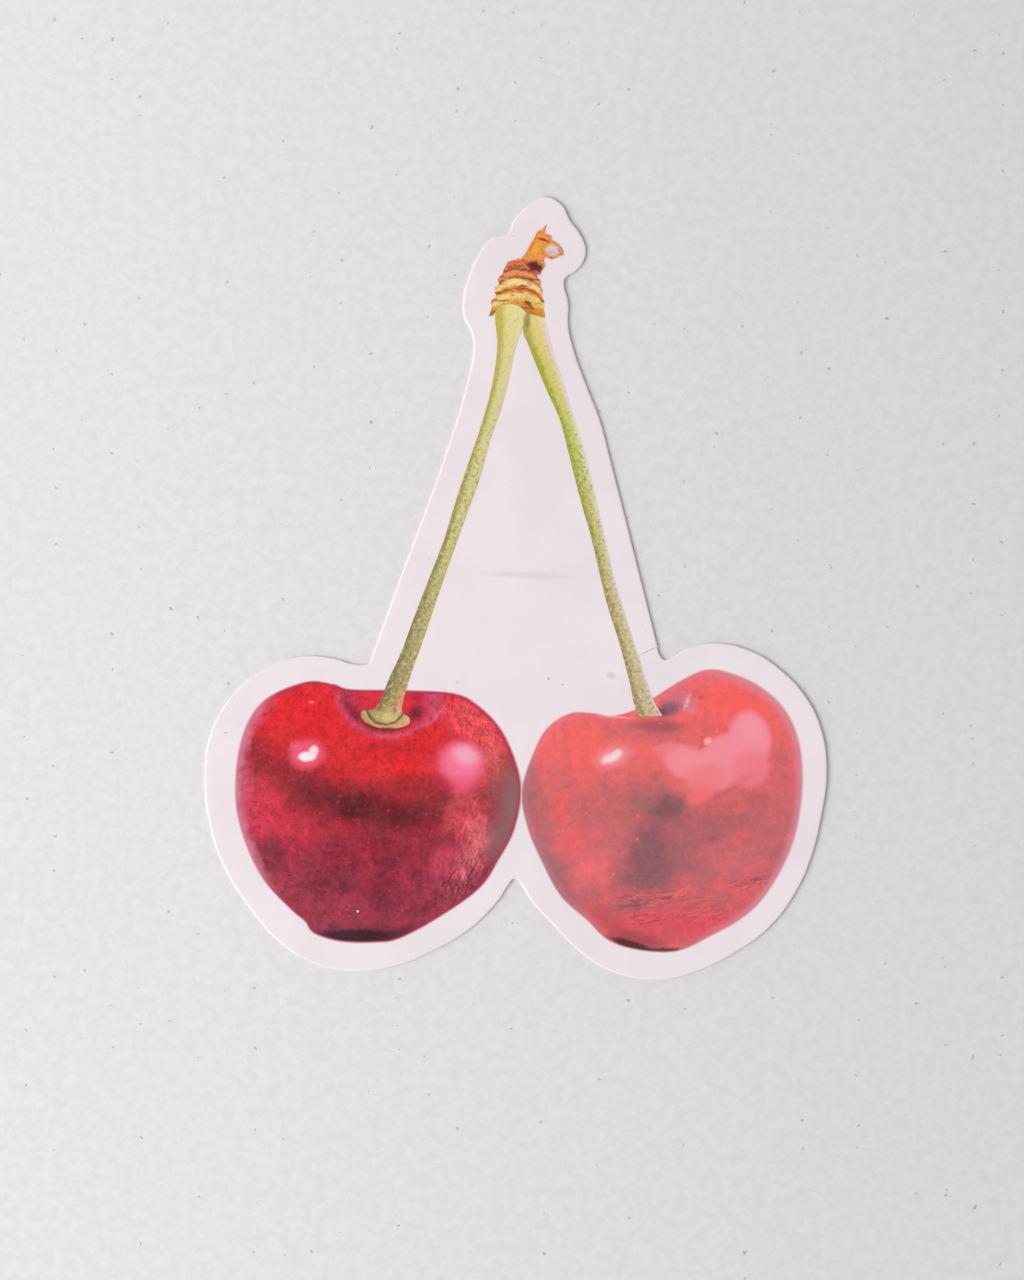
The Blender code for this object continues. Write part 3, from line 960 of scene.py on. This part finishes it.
# ---------------------------------------------------------------- the print

LEFT_CHERRY = [
    (0.6, -20.0), (0.1, -17.0), (-1.4, -13.7), (-3.6, -11.4), (-6.0, -10.2), (-10.9, -9.9),
    (-16.1, -9.8), (-17.8, -9.3), (-20.6, -9.1), (-24.7, -11.0), (-26.8, -14.7), (-27.4, -20.2),
    (-26.5, -24.6), (-24.6, -28.5), (-21.9, -31.4), (-20.6, -32.5), (-19.7, -33.7), (-17.1, -34.5),
    (-13.7, -34.6), (-11.3, -34.2), (-7.4, -32.1), (-3.5, -29.3), (-1.6, -26.5), (-0.1, -23.6),
]
LEFT_HEART = (-13.5, -21.5)
RIGHT_CHERRY = [
    (0.5, -19.9), (1.1, -23.4), (2.4, -26.5), (4.3, -30.0), (7.0, -32.5), (8.6, -34.1),
    (10.5, -35.0), (13.6, -35.5), (16.2, -35.3), (18.9, -34.0), (21.8, -32.4), (24.1, -30.3),
    (26.3, -26.7), (27.5, -23.1), (28.0, -18.7), (27.6, -14.8), (26.2, -11.7), (23.8, -9.5),
    (20.9, -8.2), (18.5, -7.9), (16.0, -9.0), (13.3, -10.7), (11.6, -11.8), (9.3, -12.4),
    (7.2, -12.1), (5.1, -12.2), (2.9, -13.7), (1.5, -16.4),
]
RIGHT_HEART = (14.5, -22.0)

# The two edges of each stalk and of the bud scale, from foot to top.
LEFT_STALK = (
    [(-12.7, -13.8), (-14.0, -13.4), (-14.9, -12.8), (-15.0, -12.0), (-13.7, -11.7), (-12.9, -10.2),
     (-12.2, -8.5), (-11.05, -6.0), (-10.0, -3.1), (-8.5, 0.8), (-7.0, 4.7), (-5.8, 8.6), (-4.5, 12.5),
     (-3.2, 16.4), (-2.2, 20.3), (-1.8, 23.7), (-2.0, 26.0), (-2.0, 28.0)],
    [(-12.5, -13.8), (-11.3, -13.6), (-10.4, -13.2), (-10.4, -12.6), (-11.1, -12.0), (-10.7, -10.0),
     (-10.1, -8.0), (-9.05, -5.1), (-7.75, -1.2), (-6.4, 2.7), (-5.0, 6.6), (-3.6, 10.5), (-2.5, 14.4),
     (-1.5, 17.3), (-0.7, 20.3), (-0.1, 23.2), (0.5, 25.0), (0.95, 26.3), (0.9, 28.0)],
)
RIGHT_STALK = (
    [(11.9, -12.6), (11.5, -11.2), (11.0, -8.8), (10.0, -5.1), (8.8, -1.2), (7.4, 4.7), (6.3, 8.6),
     (5.3, 12.5), (4.3, 16.4), (3.0, 19.3), (1.8, 22.2), (1.1, 24.0), (0.7, 25.0), (0.6, 27.6)],
    [(14.3, -12.5), (13.3, -10.7), (12.1, -7.2), (10.8, -3.1), (9.6, 0.8), (8.7, 4.7), (7.8, 8.6),
     (6.9, 12.5), (5.7, 16.4), (4.5, 20.3), (3.8, 22.3), (3.3, 24.2), (2.8, 26.2), (2.5, 27.6)],
)
BUD_SCALE = [
    (2.8, 26.35), (2.7, 27.2), (2.75, 27.9), (2.55, 28.3), (2.6, 29.0), (2.35, 29.5), (2.45, 29.8),
    (2.1, 30.3), (1.9, 30.8), (1.3, 31.3), (0.9, 31.8), (0.4, 32.1), (-0.2, 31.95), (-0.8, 31.75),
    (-0.92, 31.4), (-1.15, 31.1), (-1.3, 30.6), (-1.75, 30.1), (-1.65, 29.6), (-2.1, 29.1),
    (-1.95, 28.4), (-2.4, 27.9), (-2.35, 27.3), (-2.6, 26.5), (-2.2, 26.6), (-1.95, 27.0),
    (-1.6, 27.5), (-0.8, 27.65), (0.1, 27.55), (0.7, 27.15), (1.2, 26.75), (2.0, 26.55),
]
BUD_HEART = (-0.9, 29.0)
TWIG = [
    (3.0, 35.4), (2.6, 35.0), (2.1, 34.7), (1.75, 34.0), (1.4, 33.5), (1.0, 32.7), (0.55, 32.0),
    (0.8, 31.3), (1.4, 30.8), (2.3, 30.5), (2.5, 30.9), (2.85, 31.4), (2.7, 31.95), (3.0, 32.25),
    (3.5, 32.0), (4.0, 32.2), (4.4, 32.45), (4.65, 32.4), (4.5, 33.1), (4.0, 33.6), (3.5, 33.95),
    (3.4, 34.3), (2.95, 34.5), (2.8, 34.55), (2.9, 35.0),
]
TWIG_HEART = (2.2, 33.0)


def disc_columns(outline, heart, columns=420):
    """A round skin's rim, and its heart, which every column starts from."""
    line = smooth_line(np.array(outline) * MM, closed=True)
    rim = at_lengths(line, np.arange(columns) / columns)
    area = np.sum(rim[:, 0] * np.roll(rim[:, 1], -1) - rim[:, 1] * np.roll(rim[:, 0], -1))
    if area < 0:
        rim = rim[::-1]
    return rim, np.broadcast_to(np.array(heart) * MM, rim.shape)


def ribbon_columns(edges, columns=260):
    """A strip between two edges: up the right one, down the left one, its spine midway. Also
    gives each column's share of the length and its side, right 1 and left -1."""
    share = (np.arange(columns) + 0.5) / columns
    left, right = (at_lengths(smooth_line(np.array(edge) * MM), share) for edge in edges)
    middle = (left + right) / 2
    along = np.concatenate([share, share[::-1], share[:1]])
    side = np.concatenate([np.ones(columns), -np.ones(columns), np.ones(1)])
    return np.vstack([right, left[::-1]]), np.vstack([middle, middle[::-1]]), along, side


def print_piece(name, columns, level, material, rings=24):
    """A skin of ink on the film, at its level in the stack of skins."""
    low = FILM_HIGH + INK_STEP * level
    rim, foot, *round_and_side = columns
    piece = slab(name, rim, foot, profile(rings, low, low + INK), None, *round_and_side)
    piece.data.materials.append(material)
    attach(piece, BODY)
    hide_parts("printed_ink")
    return piece


def build_sheet():
    """The liner, the glue and the laminated film, each set a little further back when lower."""
    rim, foot = sheet_columns()
    set_back = rim_normals(rim)
    layers = [
        ("liner_sheet", rim - set_back * LINER_SET_IN, profile(14, LINER_LOW, LINER_HIGH),
         release_paper(), ["release_liner"], "release_paper", None),
        ("glue_layer", rim - set_back * GLUE_SET_IN, profile(14, GLUE_LOW, GLUE_HIGH),
         clear_adhesive(), ["adhesive_layer"], "adhesive", None),
        ("laminated_film", rim, profile(36, FILM_LOW, FILM_HIGH, ROLL_WIDTH, ROLL_DROP, ROLL_ROWS),
         white_film(), ["face_film", "clear_laminate"], "white_film", crease),
    ]
    for name, edge, section, material, nodes, slot, relief in layers:
        piece = slab(name, edge, foot, section, relief)
        piece.data.materials.append(material)
        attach(piece, BODY)
        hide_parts(*nodes)


def build_print():
    """The picture's skins, from the lowest up."""
    left = disc_columns(LEFT_CHERRY, LEFT_HEART)
    print_piece("print_left_cherry", left, 0.2, left_cherry_ink())
    right = disc_columns(RIGHT_CHERRY, RIGHT_HEART)
    print_piece("print_right_cherry", right, 0.5, right_cherry_ink())
    print_piece("print_right_stalk", ribbon_columns(RIGHT_STALK), 1.3, right_stalk_ink(), 6)
    print_piece("print_left_stalk", ribbon_columns(LEFT_STALK), 1.6, left_stalk_ink(), 6)
    dry = bud_ink()
    print_piece("print_bud_scale", disc_columns(BUD_SCALE, BUD_HEART), 2.5, dry, 10)
    print_piece("print_twig", disc_columns(TWIG, TWIG_HEART), 2.5 + 2 / 3, dry, 10)


# ---------------------------------------------------------------- floor, light and camera


def build_stage():
    """A wide pale board, a soft light high on the left, and a pale room that is dim overhead."""
    reach = 1.5
    mesh = bpy.data.meshes.new("floor")
    corners = [(-reach, -reach, 0), (reach, -reach, 0), (reach, reach, 0), (-reach, reach, 0)]
    mesh.from_pydata(corners, [], [(0, 1, 2, 3)])
    floor = bpy.data.objects.new("floor", mesh)
    bpy.context.scene.collection.objects.link(floor)
    floor.location.z = CAD_BOX[0][2]
    mesh.materials.append(grey_board())

    world = bpy.data.worlds.new("studio")
    world.use_nodes = True
    tree = world.node_tree
    toward = Field(tree, tree.nodes.new("ShaderNodeTexCoord").outputs["Generated"])
    level = ease(axis(toward, "Z"), 1.0, 0.0, 0.10, 1.10)
    tree.links.new(level.socket, tree.nodes["Background"].inputs["Strength"])
    tree.nodes["Background"].inputs["Color"].default_value = (1, 1, 1, 1)
    bpy.context.scene.world = world
    add_light("key", (-0.60, -0.14, 0.68), 0.70, 6.8)


def grey_board():
    """Pale grey board: soft fibre mottling, a few darker flecks, and painted light that makes it a little
    paler to the left.
    """
    material, shader, place = start_material("grey_board")
    fibre = noise(shaken(place, 1.5, 1.0), 1.1, 5, 0.7)
    colour = blend((223, 220, 221), (229, 227, 228), ease(fibre, 0.3, 0.7))
    flecks = specks(shaken(place, 0.4, 0.5), 2.8, 0.17, 0.36)
    colour = blend(colour, (146, 142, 138), flecks * 0.55)
    # painted light: the board is a little paler to the left, towards the key light
    colour = brighten(colour, ease(axis(place, "X"), -60.0, 60.0, 1.05, 0.95))
    connect(shader, Base_Color=colour)
    shader.inputs["Roughness"].default_value = 0.85
    return material


def add_light(name, place, size, power):
    """A square soft light that faces the origin."""
    lamp = bpy.data.lights.new(name, "AREA")
    lamp.shape = "SQUARE"
    lamp.size = size
    lamp.energy = power
    light = bpy.data.objects.new(name, lamp)
    light.location = place
    light.rotation_euler = light.location.to_track_quat("Z", "Y").to_euler()
    bpy.context.scene.collection.objects.link(light)


def build_camera():
    """Straight down, framed so that the sheet is three fifths of the picture's height."""
    low, high = CAD_BOX
    lens, film = 85.0, 36.0
    heights_seen = 1.6357
    aim_x, aim_y = -0.37 * MM, -5.06 * MM
    seen = (high[1] - low[1]) * heights_seen
    data = bpy.data.cameras.new("camera")
    data.lens = lens
    data.sensor_width = film
    camera = bpy.data.objects.new("camera", data)
    camera.location = (aim_x, aim_y, high[2] + seen * lens / film)
    bpy.context.scene.collection.objects.link(camera)
    bpy.context.scene.camera = camera


bpy.context.scene.view_settings.view_transform = "Standard"
build_sheet()
build_print()
build_stage()
build_camera()
